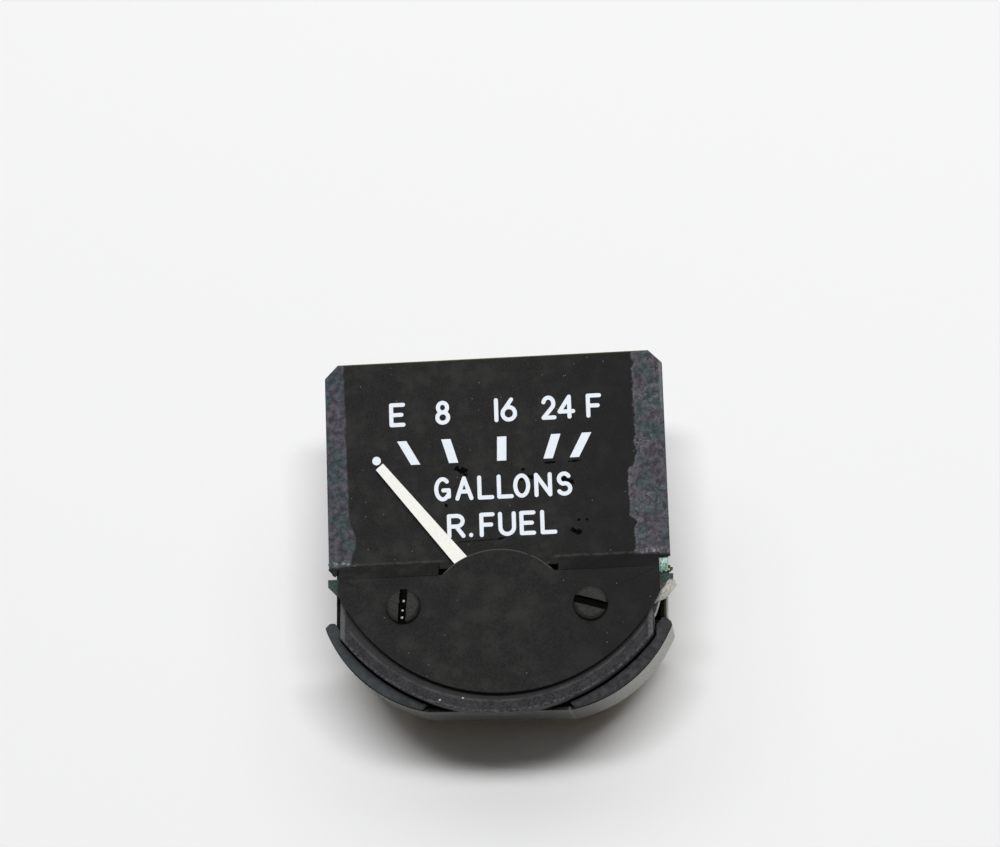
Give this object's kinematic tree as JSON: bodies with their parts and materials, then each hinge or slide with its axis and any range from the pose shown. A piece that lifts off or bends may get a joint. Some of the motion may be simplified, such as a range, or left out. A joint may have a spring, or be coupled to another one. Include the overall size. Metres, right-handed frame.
{
  "type": "fuel gauge",
  "caption": "Open aircraft cluster fuel gauge: black formed dial with a quantity scale, white pointer, half round rim and case, terminal studs at the back.",
  "frame": {"origin": "on the pointer's axis, at the back face of the case", "axes": "+Z along the pointer's axis, out of the dial towards the reader; +Y towards 12 o'clock of the dial; +X to the dial's right"},
  "size_m": [0.0444, 0.0457, 0.0306],
  "materials": {
    "black_moulding": "satin black phenolic moulding with worn edges",
    "worn_moulding": "smooth dark moulding with rubbed tips",
    "grey_moulding": "dull dark grey moulding with pale specks",
    "green_board": "dark slate green fibre board, frayed",
    "teal_filter": "translucent teal sheet",
    "old_tape": "pale frayed tape",
    "dial_black": "flat black instrument paint, rubbed at the sides",
    "screw_black": "black oxide, satin",
    "pointer_white": "flat white paint",
    "former": "plain moulded",
    "copper_wire": "enamelled wire",
    "magnet": "ground",
    "resistor": "lacquered",
    "brass": "dull turned brass",
    "steel": "zinc plated, dull",
    "plated": "tinned, dull"
  },
  "bodies": {
    "instrument": {"case": "black_moulding", "rim_pad_left": "worn_moulding", "rim_pad_right": "worn_moulding", "movement_base": "black_moulding", "rim_ring": "grey_moulding", "insulator_board": "green_board", "light_filter": "teal_filter", "tape_strip": "old_tape", "dial_plate": "dial_black", "dial_posts": "brass", "dial_screws": "screw_black", "case_screws": "steel", "bobbin_rear": "former", "bobbin_front": "former", "coil_empty": "copper_wire", "coil_full": "copper_wire", "front_bearing": "brass", "rear_bearing": "brass", "stop_pins": "steel", "shunt_resistor": "resistor", "terminal_studs": "brass", "stud_washers": "plated", "clamp_nuts": "brass", "solder_lugs": "plated", "lock_washers": "steel", "terminal_nuts": "brass"},
    "pointer_assembly": {"pointer_shaft": "steel", "armature": "magnet", "pointer_hub": "brass", "pointer": "pointer_white", "counterweight": "brass"}
  },
  "joints": [
    {"name": "pointer_turn", "type": "hinge", "parent": "instrument", "child": "pointer_assembly", "pos_m": [0, 0, 0], "axis": [0, 0, 1], "range_deg": [-75, 0]}
  ]
}
